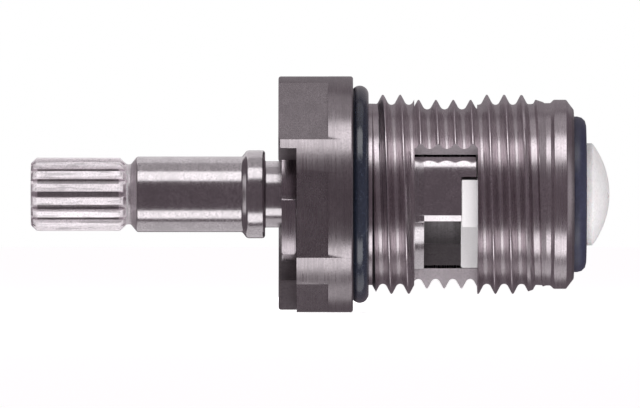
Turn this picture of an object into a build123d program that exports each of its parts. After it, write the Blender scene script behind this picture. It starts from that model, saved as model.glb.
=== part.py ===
from build123d import *
from build123d.topology import SkipClean
from math import degrees, radians, sqrt, tan
import os

# A quarter-turn ceramic-disc faucet cartridge, in millimetres and degrees.
# Its axis is the X axis. The handle end points to -X and the inlet end to +X, and X = 0 is
# the collar's sealing face. Angles run about the axis, from the front (-Y) to the top (+Z).

# Quarter turn
TURN_CLOSED = 65.0  # from the modelled position to the closed stop
TURN_OPEN = 25.0  # from the modelled position to the open stop
BODY_ANGLE = -39.25  # middle of the front window, the stop recess and the front port
STOP_CLEARANCE = 0.4  # left at each stop, in degrees

# Collar of the body
COLLAR_THICKNESS = 7.8
COLLAR_DIAMETER = 24.7
COLLAR_EDGE = 0.25
HEX_ACROSS_FLATS = 23.0
HEX_FLAT_LENGTH = 5.2
HEX_CORNER_ANGLE = 19.0
RECESS_DIAMETER = 18.4
RECESS_DEPTH = 1.9

# Neck and collar seal
NECK_DIAMETER = 19.0
NECK_LENGTH = 2.0
COLLAR_RING_SECTION = 1.85
COLLAR_RING_SINK = 0.25
COLLAR_RING_SIDE_GAP = 0.1

# Threaded barrel, modelled at the thread's major diameter, and its plain end
BODY_LENGTH = 23.1
THREAD_DIAMETER = 20.955
THREAD_END = 17.4  # where the last full turn ends
THREAD_FADE_LENGTH = 2.8
THREAD_LEAD_IN = 0.55
PILOT_DIAMETER = 19.1
END_BAND_DIAMETER = 19.8
END_BAND_LENGTH = 2.1
END_CHAMFER_LENGTH = 0.8
END_CHAMFER_DEPTH = 1.05
WINDOW_START = 6.4
WINDOW_LENGTH = 6.6
WINDOW_ANGLE = 139.0

# Bores of the body
STEM_BORE_DIAMETER = 9.5
STEM_BORE_EDGE = 0.3
CHAMBER_DIAMETER = 16.4
CHAMBER_START = 4.6

# Handle end of the stem
STEM_REACH = 33.7
SPLINE_DIAMETER = 7.7
SPLINE_LENGTH = 10.0
SPLINE_TEETH = 16
SPLINE_GROOVE_DEPTH = 0.6
SPLINE_GROOVE_MOUTH = 0.78
SPLINE_GROOVE_ROOT = 0.42
SPLINE_END_CHAMFER = 0.6
RELIEF_DIAMETER = 6.3
RELIEF_LENGTH = 0.45
HUB_DIAMETER = 7.9
HUB_LENGTH = 11.65
HUB_CHAMFER_LENGTH = 0.65
SHOULDER_DIAMETER = 9.2
SHOULDER_LENGTH = 2.4
SHOULDER_CHAMFER = 0.5
SHOULDER_ROUND = 0.3
NECK_OF_STEM_DIAMETER = 6.95
SCREW_HOLE_DIAMETER = 3.45
SCREW_HOLE_DEPTH = 12.0
SCREW_HOLE_EDGE = 0.35
DRILL_POINT_ANGLE = 118.0

# Middle of the stem
JOURNAL_CLEARANCE = 0.05  # radial, in the stem bore
RING_GROOVE_DIAMETER = 6.8
RING_GROOVE_WIDTH = 1.7
RING_GROOVE_CENTRES = {"upper_stem_o_ring": -3.1, "lower_stem_o_ring": 1.3}
RING_RUNNING_GAP = 0.05
RING_SEAT_GAP = 0.03
THRUST_FLANGE_THICKNESS = 2.0
CHAMBER_SIDE_GAP = 0.25  # radial, round the flange and the skirt

# Waterway end of the stem
SKIRT_LENGTH = 3.9
WATERWAY_DIAMETER = 10.8
PASSAGE_ANGLE = 86.0
LUG_ANGLE = 25.0
LUG_LENGTH = 1.6
LUG_THICKNESS = 1.55
LUG_GAP = 0.25

# Stop clip
CLIP_THICKNESS = 1.5
CLIP_DIAMETER = 14.0
CLIP_FLATS = 5.6  # across the two flats on the stem
CLIP_THROAT = 5.0
CLIP_FIT = 0.05
CLIP_END_PLAY = 0.05
TAB_ANGLE = 33.5
TAB_DIAMETER = 21.8

# Friction washer
WASHER_THICKNESS = 0.75
WASHER_BORE_GAP = 0.2
WASHER_RIM_GAP = 0.1
RUNNING_GAP = 0.05  # between faces that turn on each other

# Ceramic discs
MOVING_DISC_DIAMETER = 15.8
MOVING_DISC_THICKNESS = 3.1
MOVING_DISC_HUB_DIAMETER = 5.0
MOVING_DISC_CUT_ANGLE = 77.0
FIXED_DISC_THICKNESS = 3.2
FIXED_DISC_RIM_GAP = 0.1
PORT_ANGLE = 74.0
PORT_DIAMETER = 9.8
PORT_CORNER = 0.5
EAR_WIDTH = 3.0
EAR_HEIGHT = 0.45
EAR_GAP = 0.1
DISC_EDGE = 0.2

# Inlet seal and its support ring
SEAL_RIM_GAP = 0.05
SEAL_PROJECTION = 1.3
SEAL_BORE_DIAMETER = 10.9
SEAL_OUTER_ROUND = 1.0
SEAL_INNER_ROUND = 0.3
SEAL_LIP = 1.3
SUPPORT_RING_THICKNESS = 0.95
SUPPORT_RING_GAP = 0.05

# Inlet strainer
STRAINER_DIAMETER = 10.7
STRAINER_WALL = 0.75
STRAINER_FLANGE_THICKNESS = 0.7
STRAINER_PROJECTION = 0.65
STRAINER_DOME_HEIGHT = 1.8
STRAINER_HOLE_DIAMETER = 0.9
STRAINER_HOLE_RINGS = {0.0: 1, 1.7: 6}

# Places along the axis that follow from the sizes above
RECESS_FLOOR = RECESS_DEPTH - COLLAR_THICKNESS
CLIP_END = RECESS_FLOOR - CLIP_END_PLAY
CLIP_START = CLIP_END - CLIP_THICKNESS
STEM_START = -STEM_REACH
SPLINE_END = STEM_START + SPLINE_LENGTH
HUB_START = SPLINE_END + RELIEF_LENGTH
SHOULDER_START = HUB_START + HUB_LENGTH
SHOULDER_END = SHOULDER_START + SHOULDER_LENGTH
FLANGE_START = CHAMBER_START + WASHER_THICKNESS + RUNNING_GAP
FLANGE_END = FLANGE_START + THRUST_FLANGE_THICKNESS
SKIRT_END = FLANGE_END + SKIRT_LENGTH
MOVING_DISC_END = SKIRT_END + MOVING_DISC_THICKNESS
FIXED_DISC_START = MOVING_DISC_END + RUNNING_GAP
FIXED_DISC_END = FIXED_DISC_START + FIXED_DISC_THICKNESS
SEAL_END = BODY_LENGTH + SEAL_PROJECTION
LIP_START = SEAL_END - SEAL_LIP
STRAINER_SHOULDER = SEAL_END + STRAINER_PROJECTION

# Radii that follow from the sizes above
CHAMBER_RADIUS = CHAMBER_DIAMETER / 2
SKIRT_RADIUS = CHAMBER_RADIUS - CHAMBER_SIDE_GAP
JOURNAL_RADIUS = STEM_BORE_DIAMETER / 2 - JOURNAL_CLEARANCE
LUG_INNER_RADIUS = SKIRT_RADIUS - LUG_THICKNESS
KEYWAY_RADIUS = CHAMBER_RADIUS + EAR_HEIGHT + EAR_GAP
SUPPORT_POCKET_RADIUS = SEAL_BORE_DIAMETER / 2 + SUPPORT_RING_THICKNESS + SUPPORT_RING_GAP

# Angles that follow from the sizes above
RECESS_ANGLE = TURN_CLOSED + TURN_OPEN + TAB_ANGLE + 2 * STOP_CLEARANCE
TAB_CENTRE = BODY_ANGLE + (TURN_CLOSED - TURN_OPEN) / 2
PASSAGE_CENTRE = BODY_ANGLE - TURN_OPEN
LEG_CENTRE = PASSAGE_CENTRE + 90
KEY_CENTRE = BODY_ANGLE + 90

FAR = 40.0  # past the outside of every piece, for cutting tools


def across(x):
    """Plane across the axis, whose angles run from the front to the top."""
    return Plane(origin=(x, 0, 0), x_dir=(0, -1, 0), z_dir=(-1, 0, 0))


def straight(section, x_from, x_to):
    """Solid with one cross-section between two places along the axis."""
    return extrude(across(x_to) * section, x_to - x_from, dir=(-1, 0, 0))


def turned(corners, keep_seams=False):
    """Solid turned on the axis from an outline of (x, radius) corners.

    Kept seams leave a straight wall as separate faces where the outline has a corner in it.
    """
    return revolve(make_face(Polyline(*corners, close=True)), Axis.X, clean=not keep_seams)


def sector(radius, centre, angle):
    """Pie slice of the given angle about a centre line."""
    arc = CenterArc((0, 0), radius, centre - angle / 2, angle)
    return make_face([Line((0, 0), arc @ 0), arc, Line(arc @ 1, (0, 0))])


def ring_sector(outer, inner, centre, angle):
    """Part of a flat ring about a centre line."""
    return sector(outer, centre, angle) - Circle(inner)


def both_sides(make_section, centre):
    """A section and its copy half a turn on."""
    return make_section(centre) + make_section(centre + 180)


def valve_body():
    """Turned body: collar, neck, barrel and bores, then hexagon, recess, windows and keyways."""
    collar_radius = COLLAR_DIAMETER / 2
    seat_recess = NECK_DIAMETER / 2 + RING_SEAT_GAP + COLLAR_RING_SECTION + COLLAR_RING_SIDE_GAP
    thread_radius = THREAD_DIAMETER / 2
    window_end = WINDOW_START + WINDOW_LENGTH
    end_radius = END_BAND_DIAMETER / 2
    end_step = (END_BAND_DIAMETER - PILOT_DIAMETER) / 2
    end_start = BODY_LENGTH - END_BAND_LENGTH
    bore_radius = STEM_BORE_DIAMETER / 2
    body = turned([
        (-COLLAR_THICKNESS, RECESS_DIAMETER / 2),
        (-COLLAR_THICKNESS, collar_radius - COLLAR_EDGE),
        (-COLLAR_THICKNESS + COLLAR_EDGE, collar_radius),
        (-COLLAR_EDGE, collar_radius),
        (0, collar_radius - COLLAR_EDGE),
        (0, seat_recess),
        (-COLLAR_RING_SINK, seat_recess),
        (-COLLAR_RING_SINK, NECK_DIAMETER / 2),
        (NECK_LENGTH, NECK_DIAMETER / 2),
        (NECK_LENGTH + THREAD_LEAD_IN, thread_radius),
        (WINDOW_START, thread_radius),
        (window_end, thread_radius),
        (THREAD_END, thread_radius),
        (THREAD_END + THREAD_FADE_LENGTH, PILOT_DIAMETER / 2),
        (end_start - end_step, PILOT_DIAMETER / 2),
        (end_start, end_radius),
        (BODY_LENGTH - END_CHAMFER_LENGTH, end_radius),
        (BODY_LENGTH, end_radius - END_CHAMFER_DEPTH),
        (BODY_LENGTH, CHAMBER_RADIUS),
        (CHAMBER_START, CHAMBER_RADIUS),
        (CHAMBER_START, bore_radius),
        (RECESS_FLOOR + STEM_BORE_EDGE, bore_radius),
        (RECESS_FLOOR, bore_radius + STEM_BORE_EDGE),
        (RECESS_FLOOR, RECESS_DIAMETER / 2),
    ], keep_seams=True)

    hexagon = RegularPolygon(HEX_ACROSS_FLATS / 2, 6, major_radius=False, rotation=HEX_CORNER_ANGLE)
    outside_hexagon = straight(Circle(FAR) - hexagon, -FAR, HEX_FLAT_LENGTH - COLLAR_THICKNESS)
    recess_side = straight(sector(FAR, BODY_ANGLE, RECESS_ANGLE), -FAR, RECESS_FLOOR)
    windows = both_sides(lambda centre: ring_sector(FAR, bore_radius, centre, WINDOW_ANGLE), BODY_ANGLE)
    keyways = Rectangle(2 * KEYWAY_RADIUS, EAR_WIDTH + 2 * EAR_GAP) & Circle(KEYWAY_RADIUS)
    keyways = Rot(0, 0, KEY_CENTRE) * (keyways - Circle(bore_radius))

    # The thread's wall stays split at the windows' ends, so that the lands between the windows
    # are faces of their own and can be measured. The shape is the same without the seams.
    with SkipClean():
        body -= outside_hexagon
        body -= recess_side
        body -= straight(windows, WINDOW_START, window_end)
        body -= straight(keyways, FIXED_DISC_START - EAR_GAP, FAR)
    return body


def collar_o_ring():
    """Ring on the neck, let a little into the collar's face."""
    section_radius = COLLAR_RING_SECTION / 2
    centre_radius = NECK_DIAMETER / 2 + RING_SEAT_GAP + section_radius
    place = section_radius - COLLAR_RING_SINK + RING_SEAT_GAP
    return Pos(place, 0, 0) * Rot(0, 90, 0) * Torus(centre_radius, section_radius)


def stem_o_ring(centre_x):
    """Ring in one of the journal's grooves, sized by the groove and the stem bore."""
    outside = STEM_BORE_DIAMETER / 2 - RING_RUNNING_GAP
    inside = RING_GROOVE_DIAMETER / 2 + RING_SEAT_GAP
    section_radius = (outside - inside) / 2
    return Pos(centre_x, 0, 0) * Rot(0, 90, 0) * Torus(inside + section_radius, section_radius)


def friction_washer():
    """Flat washer between the thrust flange and the bottom of the chamber."""
    washer = Circle(CHAMBER_RADIUS - WASHER_RIM_GAP) - Circle(JOURNAL_RADIUS + WASHER_BORE_GAP)
    return straight(washer, CHAMBER_START, CHAMBER_START + WASHER_THICKNESS)


def spline_grooves():
    """Grooves between the spline's teeth, the first one facing the front."""
    outside = SPLINE_DIAMETER / 2
    root = outside - SPLINE_GROOVE_DEPTH
    flare = (SPLINE_GROOVE_MOUTH - SPLINE_GROOVE_ROOT) / SPLINE_GROOVE_DEPTH
    past = outside + SPLINE_GROOVE_DEPTH
    past_width = SPLINE_GROOVE_MOUTH + flare * SPLINE_GROOVE_DEPTH
    groove = make_face(Polyline(
        (root, -SPLINE_GROOVE_ROOT / 2),
        (past, -past_width / 2),
        (past, past_width / 2),
        (root, SPLINE_GROOVE_ROOT / 2),
        close=True,
    ))
    middle_of_relief = SPLINE_END + RELIEF_LENGTH / 2
    tool = straight(groove, STEM_START - 1, middle_of_relief)
    return [Rot(X=tooth * 360 / SPLINE_TEETH) * tool for tooth in range(SPLINE_TEETH)]


def screw_hole():
    """Hole for the handle screw, with a countersunk mouth and a drill point."""
    radius = SCREW_HOLE_DIAMETER / 2
    bottom = STEM_START + SCREW_HOLE_DEPTH
    point = radius / tan(radians(DRILL_POINT_ANGLE / 2))
    return turned([
        (STEM_START, 0),
        (STEM_START, radius + SCREW_HOLE_EDGE),
        (STEM_START + SCREW_HOLE_EDGE, radius),
        (bottom, radius),
        (bottom + point, 0),
    ])


def stem():
    """Turned stem with spline, clip flats, seal grooves, open-sided skirt and drive lugs."""
    spline_radius = SPLINE_DIAMETER / 2
    relief_radius = RELIEF_DIAMETER / 2
    hub_radius = HUB_DIAMETER / 2
    shoulder_radius = SHOULDER_DIAMETER / 2
    neck_radius = NECK_OF_STEM_DIAMETER / 2
    groove_radius = RING_GROOVE_DIAMETER / 2
    spline_slope = spline_radius - relief_radius
    lug_end = SKIRT_END + LUG_LENGTH
    outline = [
        (STEM_START, 0),
        (STEM_START, spline_radius - SPLINE_END_CHAMFER),
        (STEM_START + SPLINE_END_CHAMFER, spline_radius),
        (SPLINE_END - spline_slope, spline_radius),
        (SPLINE_END, relief_radius),
        (HUB_START, relief_radius),
        (HUB_START + HUB_CHAMFER_LENGTH, hub_radius),
        (SHOULDER_START, hub_radius),
        (SHOULDER_START + SHOULDER_CHAMFER, shoulder_radius),
        (SHOULDER_END - SHOULDER_ROUND, shoulder_radius),
        (SHOULDER_END, shoulder_radius - SHOULDER_ROUND),
        (SHOULDER_END, neck_radius),
        (RECESS_FLOOR, neck_radius),
        (RECESS_FLOOR, JOURNAL_RADIUS),
    ]
    for centre in sorted(RING_GROOVE_CENTRES.values()):
        outline += [
            (centre - RING_GROOVE_WIDTH / 2, JOURNAL_RADIUS),
            (centre - RING_GROOVE_WIDTH / 2, groove_radius),
            (centre + RING_GROOVE_WIDTH / 2, groove_radius),
            (centre + RING_GROOVE_WIDTH / 2, JOURNAL_RADIUS),
        ]
    outline += [
        (FLANGE_START, JOURNAL_RADIUS),
        (FLANGE_START, SKIRT_RADIUS),
        (lug_end, SKIRT_RADIUS),
        (lug_end, LUG_INNER_RADIUS),
        (SKIRT_END, LUG_INNER_RADIUS),
        (SKIRT_END, WATERWAY_DIAMETER / 2),
        (FLANGE_END, WATERWAY_DIAMETER / 2),
        (FLANGE_END, 0),
    ]
    piece = turned(outline) - screw_hole() - spline_grooves()

    flats = Circle(FAR) - Rot(0, 0, TAB_CENTRE) * Rectangle(2 * FAR, CLIP_FLATS)
    piece -= straight(flats, CLIP_START - CLIP_END_PLAY, RECESS_FLOOR)

    openings = both_sides(lambda centre: sector(FAR, centre, PASSAGE_ANGLE), PASSAGE_CENTRE)
    piece -= straight(openings, FLANGE_END, FAR)

    lugs = both_sides(lambda centre: sector(FAR, centre, LUG_ANGLE), LEG_CENTRE)
    return piece - straight(Circle(2 * FAR) - lugs, SKIRT_END, FAR)


def stop_clip():
    """Horseshoe clip: its slot grips the stem's flats and its tab meets the recess ends."""
    stem_hole_radius = NECK_OF_STEM_DIAMETER / 2 + CLIP_FIT
    slot_width = CLIP_FLATS + 2 * CLIP_FIT
    plate = Circle(CLIP_DIAMETER / 2)
    stem_hole = Circle(stem_hole_radius) & Rectangle(2 * FAR, slot_width)
    throat = Pos(-FAR / 2, 0) * Rectangle(FAR, CLIP_THROAT)
    horseshoe = Rot(0, 0, TAB_CENTRE) * (plate - stem_hole - throat)
    tab = ring_sector(TAB_DIAMETER / 2, stem_hole_radius, TAB_CENTRE, TAB_ANGLE)
    return straight(horseshoe + tab, CLIP_START, CLIP_END)


def moving_disc():
    """Butterfly disc: two lobes, open between them to the rim, with notches for the lugs."""
    radius = MOVING_DISC_DIAMETER / 2
    disc = turned([
        (SKIRT_END, 0),
        (SKIRT_END, radius - DISC_EDGE),
        (SKIRT_END + DISC_EDGE, radius),
        (MOVING_DISC_END - DISC_EDGE, radius),
        (MOVING_DISC_END, radius - DISC_EDGE),
        (MOVING_DISC_END, 0),
    ])
    hub_radius = MOVING_DISC_HUB_DIAMETER / 2
    cut_outs = both_sides(
        lambda centre: ring_sector(FAR, hub_radius, centre, MOVING_DISC_CUT_ANGLE), PASSAGE_CENTRE)
    notch_inside = LUG_INNER_RADIUS - LUG_GAP
    notch_angle = LUG_ANGLE + 2 * degrees(LUG_GAP / notch_inside)
    notches = both_sides(lambda centre: ring_sector(FAR, notch_inside, centre, notch_angle), LEG_CENTRE)
    disc -= straight(cut_outs, -FAR, FAR)
    return disc - straight(notches, -FAR, SKIRT_END + LUG_LENGTH + LUG_GAP)


def fixed_disc():
    """Disc with two sector ports and two ears that sit in the body's keyways."""
    radius = CHAMBER_RADIUS - FIXED_DISC_RIM_GAP
    ears = Rectangle(2 * (radius + EAR_HEIGHT), EAR_WIDTH) & Circle(radius + EAR_HEIGHT)
    hub_radius = MOVING_DISC_HUB_DIAMETER / 2

    def port(centre):
        opening = ring_sector(PORT_DIAMETER / 2, hub_radius, centre, PORT_ANGLE)
        return fillet(opening.vertices(), PORT_CORNER)

    section = Circle(radius) + Rot(0, 0, KEY_CENTRE) * ears - both_sides(port, BODY_ANGLE)
    return straight(section, FIXED_DISC_START, FIXED_DISC_END)


def inlet_seal():
    """Rubber ring on the fixed disc, with a lip that stands out of the body."""
    outside = CHAMBER_RADIUS - SEAL_RIM_GAP
    inside = SEAL_BORE_DIAMETER / 2
    outline = make_face(Polyline(
        (FIXED_DISC_END, SUPPORT_POCKET_RADIUS),
        (FIXED_DISC_END, outside),
        (SEAL_END, outside),
        (SEAL_END, inside),
        (LIP_START, inside),
        (LIP_START, SUPPORT_POCKET_RADIUS),
        close=True,
    ))
    lip_corners = outline.vertices().group_by(Axis.X)[-1].sort_by(Axis.Y)
    outline = fillet(lip_corners[-1], SEAL_OUTER_ROUND)
    lip_corners = outline.vertices().group_by(Axis.X)[-1].sort_by(Axis.Y)
    outline = fillet(lip_corners[0], SEAL_INNER_ROUND)
    return revolve(outline, Axis.X)


def seal_support_ring():
    """Stiff ring inside the rubber, between the strainer's flange and the lip."""
    ring = Circle(SUPPORT_POCKET_RADIUS - SUPPORT_RING_GAP) - Circle(SEAL_BORE_DIAMETER / 2)
    start = FIXED_DISC_END + STRAINER_FLANGE_THICKNESS + SUPPORT_RING_GAP
    return straight(ring, start, LIP_START)


def inlet_strainer():
    """Moulded cup: flange under the fixed disc, thin wall and a domed, perforated end."""
    outside = STRAINER_DIAMETER / 2
    inside = outside - STRAINER_WALL
    flange_radius = SUPPORT_POCKET_RADIUS - SUPPORT_RING_GAP
    flange_end = FIXED_DISC_END + STRAINER_FLANGE_THICKNESS
    dome_radius = (outside ** 2 + STRAINER_DOME_HEIGHT ** 2) / (2 * STRAINER_DOME_HEIGHT)
    dome_centre = STRAINER_SHOULDER + STRAINER_DOME_HEIGHT - dome_radius
    inner_dome_radius = dome_radius - STRAINER_WALL
    inner_shoulder = dome_centre + sqrt(inner_dome_radius ** 2 - inside ** 2)
    outer_dome = RadiusArc(
        (STRAINER_SHOULDER, outside), (dome_centre + dome_radius, 0), dome_radius)
    inner_dome = RadiusArc(
        (inner_shoulder, inside), (dome_centre + inner_dome_radius, 0), inner_dome_radius)
    wall = Polyline(
        inner_dome @ 0,
        (FIXED_DISC_END, inside),
        (FIXED_DISC_END, flange_radius),
        (flange_end, flange_radius),
        (flange_end, outside),
        outer_dome @ 0,
    )
    tip = Line(outer_dome @ 1, inner_dome @ 1)
    cup = revolve(make_face([wall, outer_dome, tip, inner_dome]), Axis.X)
    holes = [
        Rot(0, 0, hole * 360 / count) * Pos(ring_radius, 0) * Circle(STRAINER_HOLE_DIAMETER / 2)
        for ring_radius, count in STRAINER_HOLE_RINGS.items()
        for hole in range(count)
    ]
    return cup - [straight(hole, STRAINER_SHOULDER, FAR) for hole in holes]


pieces = {
    "valve_body": valve_body(),
    "collar_o_ring": collar_o_ring(),
    "stem": stem(),
    "friction_washer": friction_washer(),
    "stop_clip": stop_clip(),
    "moving_disc": moving_disc(),
    "fixed_disc": fixed_disc(),
    "inlet_seal": inlet_seal(),
    "seal_support_ring": seal_support_ring(),
    "inlet_strainer": inlet_strainer(),
}
for ring_name, ring_place in RING_GROOVE_CENTRES.items():
    pieces[ring_name] = stem_o_ring(ring_place)

os.makedirs("parts", exist_ok=True)
for name, piece in pieces.items():
    piece.label = name
    export_step(piece, f"parts/{name}.step")
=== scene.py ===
from math import atan2, cos, degrees, hypot, pi, radians, sin, tan

import bmesh
import bpy
from bpy.props import FloatProperty, FloatVectorProperty, PointerProperty
from mathutils import Matrix, Vector


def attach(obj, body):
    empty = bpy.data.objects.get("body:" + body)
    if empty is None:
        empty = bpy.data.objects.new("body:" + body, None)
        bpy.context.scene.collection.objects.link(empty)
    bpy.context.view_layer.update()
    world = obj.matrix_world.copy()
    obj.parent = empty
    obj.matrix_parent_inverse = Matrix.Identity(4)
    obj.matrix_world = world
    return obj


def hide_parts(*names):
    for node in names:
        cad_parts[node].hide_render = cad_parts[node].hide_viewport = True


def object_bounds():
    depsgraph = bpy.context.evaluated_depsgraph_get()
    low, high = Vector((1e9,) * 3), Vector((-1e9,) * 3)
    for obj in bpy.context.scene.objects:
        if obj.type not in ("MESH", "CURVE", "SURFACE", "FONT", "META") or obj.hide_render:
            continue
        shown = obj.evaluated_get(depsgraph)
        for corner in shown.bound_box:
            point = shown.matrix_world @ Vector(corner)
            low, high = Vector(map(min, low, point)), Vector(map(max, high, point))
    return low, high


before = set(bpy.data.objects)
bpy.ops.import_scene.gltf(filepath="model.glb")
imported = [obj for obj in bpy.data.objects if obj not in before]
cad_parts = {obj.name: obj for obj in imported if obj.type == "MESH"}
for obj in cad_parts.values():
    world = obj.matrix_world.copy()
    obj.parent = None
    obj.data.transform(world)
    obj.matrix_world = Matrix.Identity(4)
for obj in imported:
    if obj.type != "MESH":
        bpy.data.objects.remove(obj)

bl_info = {
    "name": "Faucet stem",
    "version": (1, 0, 0),
    "blender": (4, 5, 0),
    "location": "View3D > Sidebar > Faucet stem",
    "description": "Dresses the CAD frame of a quarter-turn ceramic-disc faucet stem",
    "category": "Mesh",
}

CAD_BOX = [list(corner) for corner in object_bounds()]

# Shapes are worked out in millimetres and degrees, and scaled to metres when a piece is finished.
# The axis is X, from the handle (-X) to the inlet (+X), and X = 0 is the collar's sealing face.
# Angles run about the axis, from the front (-Y) to the top (+Z).
MM = 0.001
STEPS = 144  # round a full turn
THREAD_STEPS = 120  # round a full turn of the thread
FAR = 16.0  # past the outside of every piece, for cutting tools

BODY_ANGLE = -39.25  # middle of the front window, the stop recess and the front port
TAB_CENTRE = -19.25
PASSAGE_CENTRE = -64.25
LEG_CENTRE = 25.75
KEY_CENTRE = 50.75

COLLAR_START = -7.8
COLLAR_RADIUS = 12.35
COLLAR_ROUNDING = 0.25
HEX_FLAT_END = -2.6
HEX_FLAT_DISTANCE = 11.5
HEX_CORNER_ANGLE = 19.0
RECESS_FLOOR = -5.9
RECESS_RADIUS = 9.2
RECESS_ANGLE = 124.3

NECK_RADIUS = 9.5
NECK_END = 2.0
NECK_UNDERCUT = 0.01  # keeps the neck's skin clear of the cutter that trims the thread's start
COLLAR_RING_SINK = 0.25
COLLAR_RING_SECTION = 1.85
COLLAR_RING_CENTRE = (0.705, 10.455)
COLLAR_RING_ROOM = 0.1
THREAD_RADIUS = 10.4775
THREAD_HALF_CREST = 0.05
THREAD_ROOT_ROUNDING = 0.26
THREAD_LEAD_IN = 0.55  # length of the cone from the neck to the crests
LEAD_IN_REACH = 1.5  # how far the lead-in's cutter reaches out
THREAD_END = 17.4
THREAD_FADE_END = 20.2
PILOT_RADIUS = 9.55
BAND_START = 21.0
BAND_RADIUS = 9.9
BAND_SLOPE = 0.35
BODY_END = 23.1
END_CHAMFER = (0.8, 1.05)
WINDOW_START = 6.4
WINDOW_END = 13.0
WINDOW_ANGLE = 139.0
WALL_INSIDE = 6.0  # where the cutters of the body's wall start
BORE_RADIUS = 4.75
CHAMBER_START = 4.6
CHAMBER_RADIUS = 8.2
KEYWAY_RADIUS = 8.75
KEYWAY_WIDTH = 3.2
KEYWAY_START = 14.35

STEM_START = -33.7
END_CHAMFER_LENGTH = 0.6
SPLINE_END = -23.7
SPLINE_RADIUS = 3.85
SPLINE_TEETH = 16
TOOTH_ROUNDING = 0.16
GROOVE_ROOT_RADIUS = 3.25
GROOVE_MOUTH = 0.78
GROOVE_ROOT = 0.42
RELIEF_RADIUS = 3.15
HUB_START = -23.25
HUB_CHAMFER_LENGTH = 0.65
HUB_RADIUS = 3.95
SHOULDER_START = -11.6
SHOULDER_END = -9.2
SHOULDER_RADIUS = 4.6
STEM_NECK_RADIUS = 3.475
JOURNAL_RADIUS = 4.7
RING_GROOVES = (-3.1, 1.3)
RING_GROOVE_RADIUS = 3.4
RING_GROOVE_HALF_WIDTH = 0.85
FLANGE_START = 5.4
FLANGE_END = 7.4
SKIRT_END = 11.3
SKIRT_RADIUS = 7.95
SKIRT_INSIDE = 3.0  # where the cutters of the skirt start
WATERWAY_RADIUS = 5.4
PASSAGE_ANGLE = 86.0
LUG_ANGLE = 25.0
LUG_END = 12.9
LUG_INNER_RADIUS = 6.4
LEG_EDGE_TILT = 10.75  # from the leg's edge to its chamfer, in degrees
LEG_EDGE_DISTANCE = 7.65
PLANES_APART = 0.02  # cutters that start in one plane would leave false sheets
SCREW_HOLE_RADIUS = 1.725
SCREW_HOLE_DEPTH = 12.0
SCREW_HOLE_POINT = 1.04
SCREW_HOLE_CHAMFER = 0.35

CLIP_START = -7.45
CLIP_END = -5.95
CLIP_RADIUS = 7.0
CLIP_FLATS = 5.6
CLIP_FIT = 0.05
CLIP_THROAT = 5.0
FLAT_CUTTER = (6.0, 12.0)  # reach and width of the blocks that cut the clip's flats
TAB_ANGLE = 33.5
TAB_RADIUS = 10.9

MOVING_DISC_END = 14.4
MOVING_DISC_RADIUS = 7.9
DISC_HUB_RADIUS = 2.5
DISC_EDGE_ROUNDING = 0.12
MOVING_DISC_CUT_ANGLE = 77.0
LUG_GAP = 0.25
FIXED_DISC_START = 14.45
FIXED_DISC_END = 17.65
FIXED_DISC_RADIUS = 8.1
PORT_ANGLE = 74.0
PORT_RADIUS = 4.9
EAR_WIDTH = 3.0
EAR_RADIUS = 8.55

SEAL_END = 24.4
SEAL_RADIUS = 8.15
SEAL_BORE = 5.45
SEAL_POCKET_RADIUS = 6.45
LIP_START = 23.1

STRAINER_RADIUS = 5.35
STRAINER_WALL = 0.75
STRAINER_FLANGE_RADIUS = 6.4
STRAINER_FLANGE_END = 18.35
STRAINER_SHOULDER = 25.05
STRAINER_DOME_HEIGHT = 1.8
STRAINER_HOLE_RADIUS = 0.45
STRAINER_HOLES = {0.0: 1, 1.7: 6}  # how many stand at each distance from the axis

IN_MM = (1000, 1000, 1000)  # for the materials, which are given metres
ANYWHERE = (None, None)  # a finish's zone without limits
ZONE_SOFTNESS = 0.08  # from the middle of a zone's edge to where it is full

LONG_LIGHT_DISTANCE = 0.3  # metres
LONG_LIGHT_LENGTH = 0.34
# Long lights: angle and width in degrees, brightness, and the body that each is kept to
LONG_LIGHTS = (
    ("upper_front_light", 58, 32, 1.6, None),
    ("lower_front_light", -65, 28, 1.5, None),
    ("stem_top_light", 95, 34, 0.36, "spindle"),
    ("stem_upper_back_light", 140, 56, 0.72, "spindle"),
    ("stem_lower_back_light", -125, 64, 0.55, "spindle"),
    ("body_top_light", 98, 34, 0.27, "housing"),
    ("body_upper_back_light", 152, 56, 0.16, "housing"),
    ("body_lower_back_light", -110, 30, 0.5, "housing"),
)
# Fills for what is matt, and panels at the ends that the chamfers mirror: place and size in
# metres, brightness, and whether the metal mirrors it
PANELS = (
    ("front_fill", (0.0, -0.27, -0.14), (0.4, 0.4), 2.15, False),
    ("back_fill", (0.0, 0.3, 0.08), (0.4, 0.4), 1.4, False),
    ("inlet_fill", (0.3, -0.12, -0.04), (0.4, 0.4), 1.3, False),
    ("handle_fill", (-0.3, -0.12, 0.02), (0.4, 0.4), 0.6, False),
    ("handle_panel", (-0.36, 0.05, 0.0), (0.13, 0.3), 0.7, True),
    ("inlet_panel", (0.36, 0.05, 0.0), (0.13, 0.3), 0.3, True),
)


# Shapes


def direction(angle):
    """Unit vector across the axis at one of the part's angles."""
    return Vector((0, -cos(radians(angle)), sin(radians(angle))))


def opposite(angle):
    """An angle and the one across the axis from it."""
    return angle, angle + 180


def turn_from_front(angle):
    """Matrix that turns what is at the front to one of the part's angles."""
    return Vector((0, -1, 0)).rotation_difference(direction(angle)).to_matrix()


def turn_to_axis(angle):
    """Matrix that stands a flat circle across the axis, with its first corner at an angle."""
    across = Matrix(((0, 0, 1), (1, 0, 0), (0, 1, 0)))
    # This alone leaves the first corner towards +Z, the part's 90 degrees.
    return Matrix.Rotation(radians(90 - angle), 3, "X") @ across


def move(bm, way, verts=None):
    """Moves a shape, or some of its corners."""
    bmesh.ops.translate(bm, vec=way, verts=verts or bm.verts)


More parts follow.
